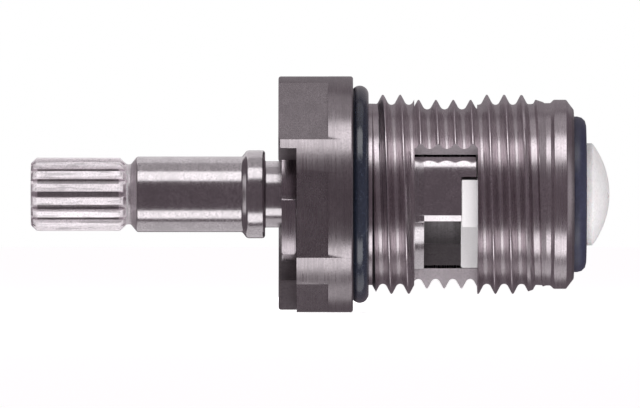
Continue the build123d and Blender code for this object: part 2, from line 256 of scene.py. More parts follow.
def turn(bm, matrix, verts=None):
    """Turns a shape, or some of its corners."""
    bmesh.ops.rotate(bm, cent=(0, 0, 0), matrix=matrix, verts=verts or bm.verts)


def spin(bm, geom, angle, steps, advance=0.0, merge=False, copies=False):
    """Turns geometry about the axis, as a skin or as copies, and moves it along at each step."""
    bmesh.ops.spin(
        bm, geom=geom, cent=(0, 0, 0), axis=(1, 0, 0), dvec=(advance, 0, 0), angle=angle,
        steps=steps, use_merge=merge, use_duplicate=copies)


def weld(bm, distance=1e-4):
    """Merges corners that lie on each other."""
    bmesh.ops.remove_doubles(bm, verts=bm.verts, dist=distance)


def face_outward(bm):
    """Turns a closed shape's faces outward and gives the shape."""
    bmesh.ops.recalc_face_normals(bm, faces=bm.faces)
    return bm


def round_off(bm, geom, size, segments=3, affect="VERTICES"):
    """Rounds corners or edges."""
    bmesh.ops.bevel(
        bm, geom=geom, offset=size, offset_type="OFFSET", segments=segments, profile=0.5,
        affect=affect, clamp_overlap=True, material=-1)


def outline(corners, closed=True):
    """Edges through (x, radius, rounding) corners above the axis."""
    bm = bmesh.new()
    verts = [bm.verts.new((x, 0, radius)) for x, radius, _ in corners]
    neighbours = verts[1:] + verts[:1] if closed else verts[1:]
    for vert, neighbour in zip(verts, neighbours):
        bm.edges.new((vert, neighbour))
    for size in sorted({rounding for _, _, rounding in corners if rounding}):
        round_off(bm, [vert for vert, corner in zip(verts, corners) if corner[2] == size], size)
    return bm


def spin_round(bm, steps=STEPS):
    """Spins an outline once round the axis."""
    spin(bm, bm.verts[:] + bm.edges[:], 2 * pi, steps, merge=True)
    weld(bm)


def turned(corners, steps=STEPS):
    """Closed shape turned from an outline, which is open where it starts and ends on the axis."""
    bm = outline(corners, closed=corners[0][1] > 0)
    spin_round(bm, steps)
    return face_outward(bm)


def plug(x_from, x_to, radius, rounding=0.0, steps=STEPS):
    """Solid round shape on the axis."""
    return turned([(x_from, 0, 0), (x_from, radius, rounding), (x_to, radius, rounding),
                   (x_to, 0, 0)], steps)


def wedge(x_from, x_to, inner, outer, centre, angle, rounding=0.0):
    """Sector of a ring between two places along the axis, as a closed shape."""
    bm = bmesh.new()
    start = direction(centre + angle / 2)
    places = ((x_from, inner), (x_to, inner), (x_to, outer), (x_from, outer))
    face = bm.faces.new([bm.verts.new(start * radius + Vector((x, 0, 0))) for x, radius in places])
    steps = max(8, round(angle / 360 * STEPS))
    spin(bm, [face, *face.edges, *face.verts], radians(angle), steps)
    face_outward(bm)
    if rounding:
        along = [edge for edge in bm.edges
                 if abs(edge.verts[0].co.x - edge.verts[1].co.x) > 1e-4
                 and edge.calc_face_angle(0) > radians(40)]
        round_off(bm, along, rounding, 4, "EDGES")
    return bm


def block(x_from, x_to, angle, near, far, width):
    """Straight block that points away from the axis at one of the part's angles."""
    bm = bmesh.new()
    bmesh.ops.create_cube(bm, size=1.0)
    bmesh.ops.scale(bm, vec=(x_to - x_from, far - near, width), verts=bm.verts)
    move(bm, ((x_from + x_to) / 2, -(near + far) / 2, 0))
    turn(bm, turn_from_front(angle))
    return bm


def extruded(bm, faces, x_from, x_to):
    """Makes flat faces across the axis a closed shape between two places along it."""
    grown = bmesh.ops.extrude_face_region(bm, geom=faces)["geom"]
    moved = [item for item in grown if isinstance(item, bmesh.types.BMVert)]
    move(bm, (x_to - x_from, 0, 0), moved)
    move(bm, (x_from, 0, 0))
    return face_outward(bm)


def finished(bm, slot):
    """Gives a cutter the material slot that its cut faces take."""
    for face in bm.faces:
        face.material_index = slot
    return bm


def joined(shapes):
    """Puts closed shapes that don't touch into one."""
    bm = bmesh.new()
    for shape in shapes:
        mesh = as_mesh("joined", shape)
        bm.from_mesh(mesh)
        bpy.data.meshes.remove(mesh)
    return bm


def add_object(name, data):
    """Puts a mesh, a light or a camera in the scene."""
    added = bpy.data.objects.new(name, data)
    bpy.context.scene.collection.objects.link(added)
    return added


def as_mesh(name, bm):
    """Makes a shape a mesh."""
    mesh = bpy.data.meshes.new(name)
    bm.to_mesh(mesh)
    bm.free()
    return mesh


def as_tool(bm):
    """Makes a shape an object for a Boolean modifier, with a slot for each finish."""
    mesh = as_mesh("tool", bm)
    for _ in range(3):
        mesh.materials.append(None)
    return add_object("tool", mesh)


def cut_away(bm, cutters):
    """Takes closed cutters away from a closed shape."""
    shape = as_tool(bm)
    tools = [as_tool(cutter) for cutter in cutters]
    for tool in tools:
        modifier = shape.modifiers.new("Cut", "BOOLEAN")
        modifier.operation = "DIFFERENCE"
        modifier.solver = "EXACT"
        modifier.object = tool
    evaluated = shape.evaluated_get(bpy.context.evaluated_depsgraph_get())
    result = bmesh.new()
    result.from_mesh(evaluated.to_mesh())
    evaluated.to_mesh_clear()
    for used in [shape, *tools]:
        mesh = used.data
        bpy.data.objects.remove(used)
        bpy.data.meshes.remove(mesh)
    weld(result)
    if any(len(edge.link_faces) != 2 for edge in result.edges):
        raise RuntimeError("a cut has left open edges")
    return result


def soften(bm, width, where=None, segments=2):
    """Rounds the edges that are sharper than 35 degrees, where a test allows it."""
    edges = [edge for edge in bm.edges
             if edge.is_manifold and edge.calc_face_angle() > radians(35)
             and (where is None or all(where(vert.co) for vert in edge.verts))]
    round_off(bm, edges, width, segments, "EDGES")


def thread_floor(x, root):
    """Lowest radius of the thread's skin: just under the neck, the root, then the pilot."""
    if x < NECK_END + 1:
        share = max(0.0, min(1.0, (NECK_END + 1 - x) / 0.7))
        return root + (NECK_RADIUS - NECK_UNDERCUT - root) * share
    share = max(0.0, min(1.0, (x - THREAD_END) / (THREAD_FADE_END - THREAD_END)))
    return root + (PILOT_RADIUS - root) * share


def thread_top(x):
    """Highest radius of the thread's skin: the crests, then the fade."""
    fade = (THREAD_FADE_END - x) / (THREAD_FADE_END - THREAD_END)
    fade = PILOT_RADIUS + (THREAD_RADIUS - PILOT_RADIUS) * fade
    return max(PILOT_RADIUS, min(THREAD_RADIUS, fade))


def pieces_of(body):
    """Collection of one body's finished pieces, which a light can be kept to."""
    name = f"{body}_pieces"
    return bpy.data.collections.get(name) or bpy.data.collections.new(name)


def add_piece(name, bm, materials, body, slot, *nodes):
    """Makes a shape a finished piece in metres, which stands for CAD nodes."""
    bmesh.ops.scale(bm, vec=(MM, MM, MM), verts=bm.verts)
    mesh = as_mesh(name, bm)
    mesh.shade_smooth()
    mesh.set_sharp_from_angle(angle=radians(32))
    for material in materials:
        mesh.materials.append(material)
    piece = add_object(name, mesh)
    normals = piece.modifiers.new("Face-weighted normals", "WEIGHTED_NORMAL")
    normals.keep_sharp = True
    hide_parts(*nodes)
    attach(piece, body)
    pieces_of(body).objects.link(piece)


def paint_nodes(nodes, material):
    """Gives CAD nodes that stay a finished material."""
    for node in nodes:
        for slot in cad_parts[node].material_slots:
            slot.material = material


# Materials


def add_node(tree, kind, inputs=None, **settings):
    """Adds a shader node with its settings, and with values or links for its inputs."""
    node = tree.nodes.new(kind)
    for name, value in settings.items():
        setattr(node, name, value)
    for name, value in (inputs or {}).items():
        if isinstance(value, bpy.types.NodeSocket):
            tree.links.new(value, node.inputs[name])
        else:
            node.inputs[name].default_value = value
    return node


def multiply(tree, first, second):
    """Multiplies two values and gives the result's socket."""
    return add_node(tree, "ShaderNodeMath", {0: first, 1: second}, operation="MULTIPLY").outputs[0]


def stretch(tree, vector, factors):
    """Multiplies a vector by three factors and gives the result's socket."""
    node = add_node(tree, "ShaderNodeVectorMath", {0: vector, 1: factors}, operation="MULTIPLY")
    return node.outputs[0]


def blend(tree, factor, first, second):
    """Mixes two colours, each a value or a socket, and gives the result's socket."""
    inputs = {0: factor, 6: first, 7: second}
    return add_node(tree, "ShaderNodeMix", inputs, data_type="RGBA").outputs[2]


def map_value(tree, value, from_min, from_max, to_min, to_max):
    """Maps a value from one range to another, clamped and eased, and gives its socket."""
    node = add_node(tree, "ShaderNodeMapRange", {
        "Value": value, "From Min": from_min, "From Max": from_max, "To Min": to_min,
        "To Max": to_max}, interpolation_type="SMOOTHSTEP")
    return node.outputs["Result"]


def inside(tree, mask, factor):
    """One (1) outside a mask, and a factor inside it."""
    return map_value(tree, mask, 0.0, 1.0, 1.0, factor)


def darken(tree, tint, mask, factor):
    """Multiplies a colour by a factor inside a mask."""
    level = inside(tree, mask, factor)
    node = add_node(tree, "ShaderNodeVectorMath", {0: tint, "Scale": level}, operation="SCALE")
    return node.outputs[0]


def new_group(name, inputs, outputs):
    """Starts a shader node group and gives its tree, its input node and its output node."""
    tree = bpy.data.node_groups.new(name, "ShaderNodeTree")
    for labels, side in ((inputs, "INPUT"), (outputs, "OUTPUT")):
        for label in labels:
            kind = "NodeSocketVector" if label == "Vector" else "NodeSocketFloat"
            tree.interface.new_socket(label, in_out=side, socket_type=kind)
    return tree, tree.nodes.new("NodeGroupInput"), tree.nodes.new("NodeGroupOutput")


def lathe_group():
    """Place along the axis and distance from it, in millimetres."""
    tree, given, result = new_group("Lathe place", ["Vector"], ["Along", "Radius"])
    place = stretch(tree, given.outputs["Vector"], IN_MM)
    across = stretch(tree, place, (0, 1, 1))
    radius = add_node(tree, "ShaderNodeVectorMath", {0: across}, operation="LENGTH")
    parts = add_node(tree, "ShaderNodeSeparateXYZ", {0: place})
    tree.links.new(parts.outputs["X"], result.inputs["Along"])
    tree.links.new(radius.outputs["Value"], result.inputs["Radius"])
    return tree


def marks_group():
    """Fine rings that a cutting tool leaves on turned faces."""
    tree, given, result = new_group("Turning marks", ["Vector", "Marks per mm"], ["Height"])
    lathe = place_group(tree, "Lathe place", {"Vector": given.outputs["Vector"]})
    flat = add_node(tree, "ShaderNodeCombineXYZ",
                    {"X": lathe.outputs["Along"], "Y": lathe.outputs["Radius"]})
    noise = add_node(tree, "ShaderNodeTexNoise", {
        "Vector": flat.outputs[0], "Scale": given.outputs["Marks per mm"], "Detail": 3.0,
        "Roughness": 0.6})
    tree.links.new(noise.outputs["Fac"], result.inputs["Height"])
    return tree


def speckle_group():
    """Small irregular spots, from none (0) to full (1)."""
    tree, given, result = new_group("Speckle", ["Vector", "Spots per mm", "From", "To"], ["Mask"])
    noise = add_node(tree, "ShaderNodeTexNoise", {
        "Vector": stretch(tree, given.outputs["Vector"], IN_MM),
        "Scale": given.outputs["Spots per mm"], "Detail": 4.0, "Roughness": 0.65})
    spots = add_node(tree, "ShaderNodeMapRange", {
        "Value": noise.outputs["Fac"], "From Min": given.outputs["From"],
        "From Max": given.outputs["To"]}, interpolation_type="SMOOTHSTEP")
    tree.links.new(spots.outputs["Result"], result.inputs["Mask"])
    return tree


SHARED_GROUPS = {
    "Lathe place": lathe_group, "Turning marks": marks_group, "Speckle": speckle_group}


def place_group(tree, name, inputs):
    """Places a shared node group, which is built when it is first asked for."""
    group = bpy.data.node_groups.get(name) or SHARED_GROUPS[name]()
    return add_node(tree, "ShaderNodeGroup", inputs, node_tree=group)


def speckle(tree, place, spots_per_mm, low, high):
    """Mask of small irregular spots."""
    node = place_group(tree, "Speckle", {
        "Vector": place, "Spots per mm": spots_per_mm, "From": low, "To": high})
    return node.outputs["Mask"]


def zone_mask(tree, place, along, radius):
    """Full (1) between two places along the axis and two distances from it, none (0) outside."""
    lathe = place_group(tree, "Lathe place", {"Vector": place})
    mask = None
    for name, (low, high) in (("Along", along), ("Radius", radius)):
        for limit, below, above in ((low, 0.0, 1.0), (high, 1.0, 0.0)):
            if limit is None:
                continue
            step = map_value(tree, lathe.outputs[name], limit - ZONE_SOFTNESS,
                             limit + ZONE_SOFTNESS, below, above)
            mask = step if mask is None else multiply(tree, mask, step)
    return mask


def shade(colour, factor):
    """A colour made darker or lighter, with full alpha."""
    return (colour[0] * factor, colour[1] * factor, colour[2] * factor, 1.0)


def new_material(name):
    """Starts a material and gives its tree, its Principled shader and its Object coordinates."""
    material = bpy.data.materials.new(name)
    material.use_nodes = True
    tree = material.node_tree
    place = add_node(tree, "ShaderNodeTexCoord").outputs["Object"]
    return material, tree, tree.nodes["Principled BSDF"], place


def feed_shader(tree, shader, tint, rough, height, depth):
    """Feeds colour, roughness and height to a shader, with the height's depth in metres."""
    bump = add_node(tree, "ShaderNodeBump", {"Height": height, "Strength": 1.0, "Distance": depth})
    for socket, label in ((tint, "Base Color"), (rough, "Roughness"), (bump.outputs[0], "Normal")):
        tree.links.new(socket, shader.inputs[label])


def plated_metal(name, colour, roughness, zones=(), metal_share=1.0, matt=None, streaks=None):
    """Satin nickel plating: turning marks, speckle and clouds, and zones with their own finish,
    some of them painted shade and painted light.

    A zone is (along, radius, shade, roughness): its limits in millimetres, and what it multiplies
    the colour and the roughness by. The matt zone ends in its share of metal, and the streaked zone
    has only limits.
    """
    material, tree, shader, place = new_material(name)
    marks = place_group(tree, "Turning marks", {"Vector": place, "Marks per mm": 7.0})
    spots = speckle(tree, place, 4.5, 0.42, 0.72)
    clouds = speckle(tree, place, 0.45, 0.35, 0.7)
    tint = blend(tree, spots, shade(colour, 1.06), shade(colour, 0.74))
    tint = blend(tree, clouds, tint, shade(colour, 0.86))
    height = marks.outputs["Height"]
    rough = map_value(tree, height, 0.3, 0.7, roughness * 0.85, roughness * 1.2)
    for along, radius, shade_factor, rough_factor in zones:
        mask = zone_mask(tree, place, along, radius)
        tint = darken(tree, tint, mask, shade_factor)
        rough = multiply(tree, rough, inside(tree, mask, rough_factor))
    if streaks:
        lines = speckle(tree, stretch(tree, place, (0.1, 1.0, 1.0)), 2.6, 0.46, 0.62)
        mask = multiply(tree, zone_mask(tree, place, *streaks), lines)
        tint = darken(tree, tint, mask, 0.72)
    shader.inputs["Metallic"].default_value = metal_share
    if matt:
        along, radius, share = matt
        mask = zone_mask(tree, place, along, radius)
        tree.links.new(inside(tree, mask, share), shader.inputs["Metallic"])
    feed_shader(tree, shader, tint, rough, height, 0.0000015)
    return material


def spotted(name, colour, layers, roughness, depth, settings):
    """Material of one colour with layers of spots, the last of which stand out and are rougher.

    A layer is (spots per millimetre, where they start and are full, shade), roughness is that
    between and on the last spots, and settings are the shader's own.
    """
    material, tree, shader, place = new_material(name)
    for label, value in settings.items():
        shader.inputs[label].default_value = value
    tint = shade(colour, 1.0)
    for spots_per_mm, low, high, factor in layers:
        mask = speckle(tree, place, spots_per_mm, low, high)
        tint = blend(tree, mask, tint, shade(colour, factor))
    feed_shader(tree, shader, tint, map_value(tree, mask, 0.0, 1.0, *roughness), mask, depth)
    return material


def rubber(name, colour, roughness, coat=0.0):
    """Smooth moulded rubber with a faint dust."""
    return spotted(name, colour, [(3.0, 0.45, 0.75, 1.7)], (roughness, roughness + 0.15), 0.000004,
                   {"Specular IOR Level": 0.8, "Coat Weight": coat, "Coat Roughness": 0.15})


def ceramic(name, colour):
    """Matt sintered ceramic with a very fine grain."""
    return spotted(name, colour, [(8.0, 0.3, 0.7, 0.94)], (0.38, 0.5), 0.000002, {})


def moulded_plastic(name, colour):
    """Milky plastic with cloudy spots."""
    layers = [(0.9, 0.3, 0.75, 0.9), (4.0, 0.4, 0.8, 0.82)]
    return spotted(name, colour, layers, (0.45, 0.6), 0.00001,
                   {"Subsurface Weight": 0.1, "Subsurface Scale": 0.001})


# Properties


def length(name, description, default, low, high):
    """Property for a length, whose default is given in millimetres and its limits in metres."""
    return FloatProperty(name=name, description=description, default=default * MM, min=low,
                         max=high, precision=5, unit="LENGTH")


def colour(name, description, default):
    """Property for a colour."""
    return FloatVectorProperty(
        name=name, description=description, default=default, min=0, max=1, subtype="COLOR")


class StemSizes(bpy.types.PropertyGroup):
    """Sizes of the dressed pieces that the CAD frame leaves open."""

    thread_pitch: length(
        "Thread pitch", "Distance from one crest to the next", 1.814, 0.001, 0.003)
    thread_root_radius: length(
        "Thread root radius", "Distance from the axis to the bottom of the thread",
        9.38, 0.009, 0.010)
    thread_root_width: length(
        "Thread root width", "Width of the flat at the bottom of the thread", 0.56, 0.0001, 0.001)
    thread_crest_rounding: length(
        "Thread crest rounding", "How far the crest's rounding reaches down its sides",
        0.26, 0.00002, 0.0004)
    thread_crest_place: length(
        "Thread crest place", "Place along the axis of a crest at the very top", 3.12, 0.0, 0.005)
    edge_rounding: length(
        "Edge rounding", "Rounding of the machined edges", 0.09, 0.00001, 0.0003)


class StemColours(bpy.types.PropertyGroup):
    """Colours of the finishes."""

    body: colour("Body plating", "Colour of the body's satin plating", (0.45, 0.41, 0.43))
    cut: colour("Cut faces", "Colour of the milled faces of the windows", (0.56, 0.51, 0.54))
    stem: colour("Stem plating", "Colour of the stem's satin plating", (0.6, 0.565, 0.585))
    clip: colour("Clip", "Colour of the stop clip's metal", (0.5, 0.45, 0.48))
    ring_rubber: colour("Ring rubber", "Colour of the sealing rings", (0.012, 0.016, 0.028))
    seal_rubber: colour("Seal rubber", "Colour of the inlet seal", (0.022, 0.024, 0.05))
    ceramic: colour("Ceramic", "Colour of the two discs", (0.84, 0.82, 0.83))
    strainer: colour("Strainer plastic", "Colour of the inlet strainer", (0.86, 0.85, 0.85))
    plastic: colour(
        "Inner plastic", "Colour of the washer and the support ring", (0.86, 0.86, 0.85))


class StageSettings(bpy.types.PropertyGroup):
    """Camera, lights and surroundings."""

    view_width: length(
        "View width", "Width of what the camera sees, at the axis", 67.0, 0.02, 0.3)
    view_centre: FloatVectorProperty(
        name="View centre", description="Point on the axis plane that the camera faces",
        default=(-3.455 * MM, 0.0, -1.016 * MM), size=3, precision=5, subtype="TRANSLATION",
        unit="LENGTH")
    camera_distance: FloatProperty(
        name="Camera distance", description="Distance from the camera to the axis",
        default=2.0, min=0.1, max=5.0, unit="LENGTH")
    mirror_light: FloatProperty(
        name="Mirrored light", description="Strength of the lights that the metal mirrors",
        default=1.0, min=0)
    fill_light: FloatProperty(
        name="Fill light", description="Strength of the wide lights that the metal doesn't mirror",
        default=1.0, min=0)
    sky_light: FloatProperty(
        name="Sky light", description="Strength of the soft light from straight above",
        default=0.55, min=0)
    surroundings: colour(
        "Surroundings", "Colour of the room that the metal mirrors", (0.14, 0.115, 0.13))
    floor: colour("Floor", "Colour of the floor", (0.9, 0.9, 0.9))


# Operators


def thread(sizes):
    """Open helical skin of the threaded barrel, from the neck to the pilot."""
    pitch = sizes.thread_pitch / MM
    root = sizes.thread_root_radius / MM
    flank = pitch / 2 - sizes.thread_root_width / MM / 2
    slope = (THREAD_RADIUS - root) / (flank - THREAD_HALF_CREST)
    sharp_crest = root + slope * flank
    middle = (root + sharp_crest) / 2
    first_crest = sizes.thread_crest_place / MM - 2 * pitch
    bm = outline([
        (first_crest - flank / 2, middle, 0),
        (first_crest, sharp_crest, sizes.thread_crest_rounding / MM),
        (first_crest + flank, root, THREAD_ROOT_ROUNDING),
        (first_crest + pitch - flank, root, THREAD_ROOT_ROUNDING),
        (first_crest + pitch - flank / 2, middle, 0),
    ], closed=False)
    flanks = [edge for edge in bm.edges if edge.calc_length() > 0.25]
    bmesh.ops.subdivide_edges(bm, edges=flanks, cuts=3)
    turns = int((THREAD_FADE_END + 1 - first_crest) / pitch) + 2
    spin(bm, bm.verts[:] + bm.edges[:], 2 * pi * turns, THREAD_STEPS * turns,
         advance=pitch / THREAD_STEPS)
    weld(bm, 1e-3)
    for vert in bm.verts:
        radius = hypot(vert.co.y, vert.co.z)
        wanted = min(max(radius, thread_floor(vert.co.x, root)), thread_top(vert.co.x))
        vert.co.y *= wanted / radius
        vert.co.z *= wanted / radius
    for x, side in ((NECK_END - 0.8, -1), (THREAD_FADE_END + 0.1, 1)):
        bmesh.ops.bisect_plane(
            bm, geom=bm.verts[:] + bm.edges[:] + bm.faces[:], dist=1e-4, plane_co=(x, 0, 0),
            plane_no=(side, 0, 0), clear_outer=True)
    return bm


def rest_of_body(bm, edge):
    """Turns the collar, the bores and the plain end, and bridges them to the thread."""
    chamfer_length, chamfer_depth = END_CHAMFER
    skin = NECK_RADIUS - NECK_UNDERCUT
    seat = COLLAR_RING_CENTRE[1] + COLLAR_RING_SECTION / 2 + COLLAR_RING_ROOM
    rest = outline([
        (NECK_END - 0.9, skin, 0),
        (-COLLAR_RING_SINK, skin, 0),
        (-COLLAR_RING_SINK, seat, 0),
        (0, seat, 0),
        (0, COLLAR_RADIUS, COLLAR_ROUNDING),
        (COLLAR_START, COLLAR_RADIUS, COLLAR_ROUNDING),
        (COLLAR_START, RECESS_RADIUS, edge),
        (RECESS_FLOOR, RECESS_RADIUS, 0),
        (RECESS_FLOOR, BORE_RADIUS, 0.3),
        (CHAMBER_START, BORE_RADIUS, 0),
        (CHAMBER_START, CHAMBER_RADIUS, 0),
        (BODY_END, CHAMBER_RADIUS, edge),
        (BODY_END, BAND_RADIUS - chamfer_depth, edge),
        (BODY_END - chamfer_length, BAND_RADIUS, edge),
        (BAND_START, BAND_RADIUS, edge),
        (BAND_START - BAND_SLOPE, PILOT_RADIUS, edge),
        (THREAD_FADE_END + 0.2, PILOT_RADIUS, 0),
    ], closed=False)
    spin_round(rest)
    bm = joined([bm, rest])
    rims = [rim for rim in bm.edges if rim.is_boundary]
    for inlet_end in (False, True):
        pair = [rim for rim in rims if (rim.verts[0].co.x > 10) == inlet_end]
        bmesh.ops.bridge_loops(bm, edges=pair)
    return face_outward(bm)


def lead_in_cutter():
    """Ring that trims the thread's start to a cone."""
    slope = (THREAD_RADIUS - NECK_RADIUS) / THREAD_LEAD_IN
    start, outer = NECK_END - 0.85, NECK_RADIUS + LEAD_IN_REACH
    return turned([
        (start, NECK_RADIUS, 0), (NECK_END, NECK_RADIUS, 0),
        (NECK_END + LEAD_IN_REACH / slope, outer, 0), (start, outer, 0)])


def hexagon_cutter():
    """Ring that leaves a hexagon of the collar."""
    bm = bmesh.new()
    for radius in (HEX_FLAT_DISTANCE / cos(pi / 6), 2 * FAR):
        loop = bmesh.ops.create_circle(bm, segments=6, radius=radius)["verts"]
        turn(bm, turn_to_axis(HEX_CORNER_ANGLE), loop)
    ring = bmesh.ops.bridge_loops(bm, edges=bm.edges[:])["faces"]
    return extruded(bm, ring, HEX_FLAT_END, COLLAR_START - 1)


class STEM_OT_valve_body(bpy.types.Operator):
    """Body with its hexagonal collar, helical thread, windows and bores"""

    bl_idname = "faucet_stem.valve_body"
    bl_label = "Valve body"

    def execute(self, context):
        sizes = context.scene.stem_sizes
        colours = context.scene.stem_colours
        edge = sizes.edge_rounding / MM
        bm = rest_of_body(thread(sizes), edge)
        windows = [wedge(WINDOW_START, WINDOW_END, WALL_INSIDE, FAR, centre, WINDOW_ANGLE)
                   for centre in opposite(BODY_ANGLE)]
        keyways = [block(KEYWAY_START, BODY_END + 1, centre, WALL_INSIDE, KEYWAY_RADIUS,
                         KEYWAY_WIDTH) for centre in opposite(KEY_CENTRE)]
        apart = [hexagon_cutter(), *(finished(window, 1) for window in windows), *keyways,
                 lead_in_cutter()]
        recess = wedge(COLLAR_START - 1, RECESS_FLOOR, WALL_INSIDE, FAR, BODY_ANGLE, RECESS_ANGLE)
        bm = cut_away(bm, [joined(apart), finished(recess, 2)])
        soften(bm, edge, where=lambda place: place.x < -0.3)  # the collar's cut edges
        metal = plated_metal("body_plating", colours.body, 0.28, zones=(
            ((NECK_END - 0.9, None), (9.2, None), 1.42, 1.0),  # outside
            ((NECK_END, None), (10.2, None), 1.15, 1.0),  # crests
            ((RECESS_FLOOR - 5, CHAMBER_START), (None, 9.27), 0.75, 1.6),  # recess and bore: painted shade, darker and rougher
            ((CHAMBER_START, WINDOW_END + 8), (None, 8.4), 0.5, 1.0)))  # chamber: painted shade, darker
        cut_metal = plated_metal("milled_plating", colours.cut, 0.5, metal_share=0.72)
        # The recess's cut faces take a darker copy of the body plating: painted shade.
        recess_shaded_metal = plated_metal("recess_painted_shade", shade(colours.body, 0.8), 0.45)
        add_piece("threaded_body", bm, [metal, cut_metal, recess_shaded_metal], "housing", "body_metal",
                  "valve_body")
        return {"FINISHED"}


def profile(edge):
    """Corners of the turned stem, from the screw hole over the outside to the waterway."""
    hole_bottom = STEM_START + SCREW_HOLE_DEPTH
    corners = [
        (hole_bottom + SCREW_HOLE_POINT, 0, 0),
        (hole_bottom, SCREW_HOLE_RADIUS, 0),
        (STEM_START + SCREW_HOLE_CHAMFER, SCREW_HOLE_RADIUS, 0),
        (STEM_START, SCREW_HOLE_RADIUS + SCREW_HOLE_CHAMFER, 0),
        (STEM_START, SPLINE_RADIUS - END_CHAMFER_LENGTH, edge),
        (STEM_START + END_CHAMFER_LENGTH, SPLINE_RADIUS, edge),
        (SPLINE_END - 0.7, SPLINE_RADIUS, edge),
        (SPLINE_END, RELIEF_RADIUS, 0.1),
        (HUB_START, RELIEF_RADIUS, 0.1),
        (HUB_START + HUB_CHAMFER_LENGTH, HUB_RADIUS, 0.15),
        (SHOULDER_START, HUB_RADIUS, 0.15),
        (SHOULDER_START + 0.5, SHOULDER_RADIUS, 0.2),
        (SHOULDER_END, SHOULDER_RADIUS, 0.3),
        (SHOULDER_END, STEM_NECK_RADIUS, edge),
        (SHOULDER_END + 0.2, STEM_NECK_RADIUS, 0),  # keeps the neck's shading straight
        (CLIP_START - 0.1, STEM_NECK_RADIUS, 0),
        (RECESS_FLOOR, STEM_NECK_RADIUS, 0),
        (RECESS_FLOOR, JOURNAL_RADIUS, edge),
    ]
    for groove in RING_GROOVES:
        near, far = groove - RING_GROOVE_HALF_WIDTH, groove + RING_GROOVE_HALF_WIDTH
        corners += [(near, JOURNAL_RADIUS, 0), (near, RING_GROOVE_RADIUS, 0),
                    (far, RING_GROOVE_RADIUS, 0), (far, JOURNAL_RADIUS, 0)]
    return corners + [
        (FLANGE_START, JOURNAL_RADIUS, 0),
        (FLANGE_START, SKIRT_RADIUS, edge),
        (LUG_END, SKIRT_RADIUS, edge),
        (LUG_END, LUG_INNER_RADIUS, edge),
        (SKIRT_END, LUG_INNER_RADIUS, 0),
        (SKIRT_END, WATERWAY_RADIUS, edge),
        (FLANGE_END, WATERWAY_RADIUS, 0),
        (FLANGE_END, 0, 0),
    ]


def spline_cutter():
    """Tube whose hole has the spline's section, with rounded tooth edges."""
    bm = bmesh.new()
    tooth_radius = SPLINE_RADIUS + 0.06
    half_root, half_mouth = GROOVE_ROOT / 2, GROOVE_MOUTH / 2 + 0.03
    corners = ((GROOVE_ROOT_RADIUS, -half_root), (GROOVE_ROOT_RADIUS, half_root),
               (tooth_radius, half_mouth), (tooth_radius, -half_mouth),
               (GROOVE_ROOT_RADIUS, -half_root))
    verts = [bm.verts.new((0, -radius, across)) for radius, across in corners]
    turn(bm, turn_from_front(360 / SPLINE_TEETH), verts[3:])  # these are the next groove's
    for first, second in zip(verts, verts[1:]):
        bm.edges.new((first, second))
    round_off(bm, verts[2:4], TOOTH_ROUNDING)
    spin(bm, bm.verts[:] + bm.edges[:], -2 * pi, SPLINE_TEETH, copies=True)
    weld(bm, 1e-3)
    inner = bm.edges[:]
    rim = bmesh.ops.create_circle(bm, segments=64, radius=6.0)["verts"]
    turn(bm, turn_to_axis(0), rim)
    outer = [edge for edge in bm.edges if edge not in inner]
    filled = bmesh.ops.triangle_fill(
        bm, use_beauty=True, use_dissolve=False, edges=inner + outer, normal=(1, 0, 0))["geom"]
    ring = [item for item in filled if isinstance(item, bmesh.types.BMFace)]
    return extruded(bm, ring, STEM_START - 1, (SPLINE_END + HUB_START) / 2)


class STEM_OT_stem(bpy.types.Operator):
    """Stem with its spline, hub, shoulder, seal grooves, open-sided skirt and drive lugs"""

    bl_idname = "faucet_stem.stem"
    bl_label = "Stem"

    def execute(self, context):
        colours = context.scene.stem_colours
        edge = context.scene.stem_sizes.edge_rounding / MM
        cutters = [spline_cutter()]
        cutters += [block(CLIP_START - 0.05, RECESS_FLOOR, TAB_CENTRE + side, CLIP_FLATS / 2,
                          *FLAT_CUTTER) for side in (90, -90)]
        cutters += [finished(wedge(FLANGE_END, FAR, SKIRT_INSIDE, FAR, centre, PASSAGE_ANGLE), 1)
                    for centre in opposite(PASSAGE_CENTRE)]
        cutters += [wedge(SKIRT_END, FAR, SKIRT_INSIDE, FAR, centre, 180 - LUG_ANGLE)
                    for centre in opposite(PASSAGE_CENTRE)]
        edge_angle = (180 - PASSAGE_ANGLE) / 2 + LEG_EDGE_TILT
        cutters.append(joined([
            block(FLANGE_END + PLANES_APART, SKIRT_END + 0.01, centre + side * edge_angle,
                  LEG_EDGE_DISTANCE, 12.0, 5.0)
            for centre in opposite(LEG_CENTRE) for side in (1, -1)]))
        bm = cut_away(turned(profile(edge)), cutters)
        soften(bm, edge, where=lambda place: place.x > FLANGE_START)
        spline = (None, SPLINE_END + 0.2)
        metal = plated_metal("stem_plating", colours.stem, 0.19, zones=(
            (spline, ANYWHERE, 1.6, 2.6),
            ((STEM_START + 0.7, SPLINE_END - 0.8), (2.0, 3.45), 0.55, 1.0),  # its grooves
            ((SPLINE_END, HUB_START + HUB_CHAMFER_LENGTH), ANYWHERE, 1.25, 2.6),  # relief and hub chamfer: painted light, lighter than the plating
            ((FLANGE_END, None), (7.0, None), 1.12, 0.65),  # outside of the legs: painted light, lighter to raise their highlight, and smoother
            ((FLANGE_END - 0.05, None), (None, 5.6), 0.5, 2.5)),  # waterway: painted shade, darker and rougher
            matt=(spline, (3.5, None), 0.35), streaks=(spline, (3.6, None)))
        # The passages' cut faces take a dark copy of the body plating: painted shade.
        passage_shaded_metal = plated_metal("passage_painted_shade", shade(colours.body, 0.4), 0.5)
        add_piece("turned_stem", bm, [metal, passage_shaded_metal], "spindle", "stem_metal", "stem")
        return {"FINISHED"}


def at_tab_corner(place):
    """Whether a place is at one of the tab's two outer corners."""
    across = Vector((0, place.y, place.z))
    return (across.length > TAB_RADIUS - 0.05
            and direction(TAB_CENTRE).angle(across) > radians(TAB_ANGLE / 2 - 1))


